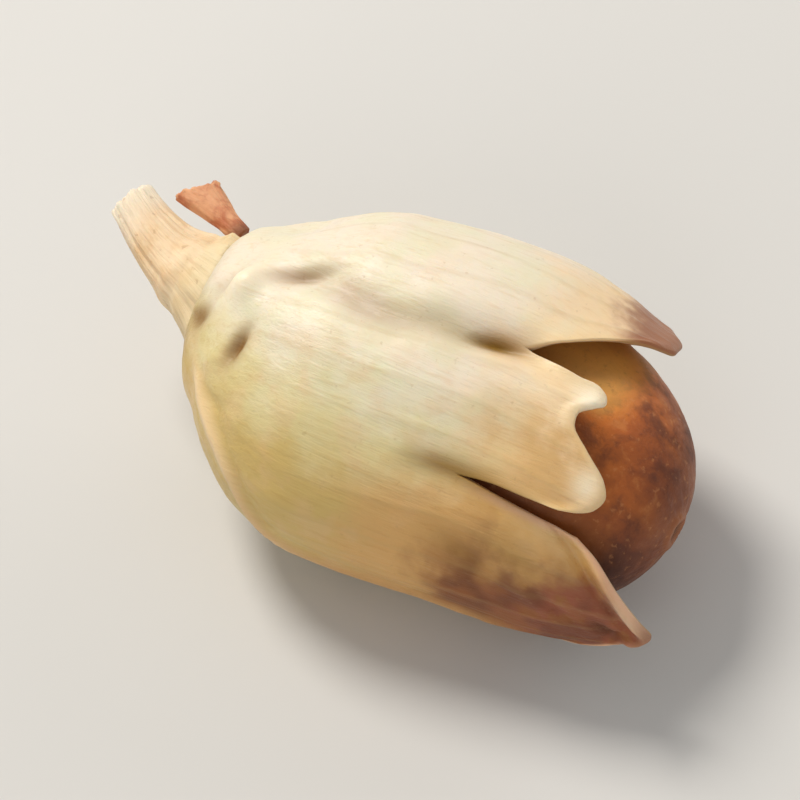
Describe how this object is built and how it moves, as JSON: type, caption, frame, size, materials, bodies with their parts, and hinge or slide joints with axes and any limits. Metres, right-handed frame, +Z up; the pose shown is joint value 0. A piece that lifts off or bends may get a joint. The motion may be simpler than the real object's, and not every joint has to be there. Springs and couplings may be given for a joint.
{
  "type": "sorghum spikelet",
  "caption": "Husked sorghum seed lying on its side: a rounded grain between two leathery husk scales that gape at one end, on a short cut stalk.",
  "frame": {"origin": "middle of the bounding box in X and Y, on the surface that the spikelet lies on", "axes": "+X along the husk from the cut stalk to the gaping mouth, +Z up, -Y the side to which the broad lower husk scale leans"},
  "size_m": [0.0066, 0.0036, 0.0029],
  "materials": {
    "lower_glume": "satin",
    "upper_glume": "satin",
    "grain": "matte",
    "rachis_stub": "matte",
    "pedicel_stub": "matte"
  },
  "bodies": {
    "root": {"lower_glume": "lower_glume", "upper_glume": "upper_glume", "grain": "grain", "rachis_stub": "rachis_stub", "pedicel_stub": "pedicel_stub"}
  },
  "joints": []
}
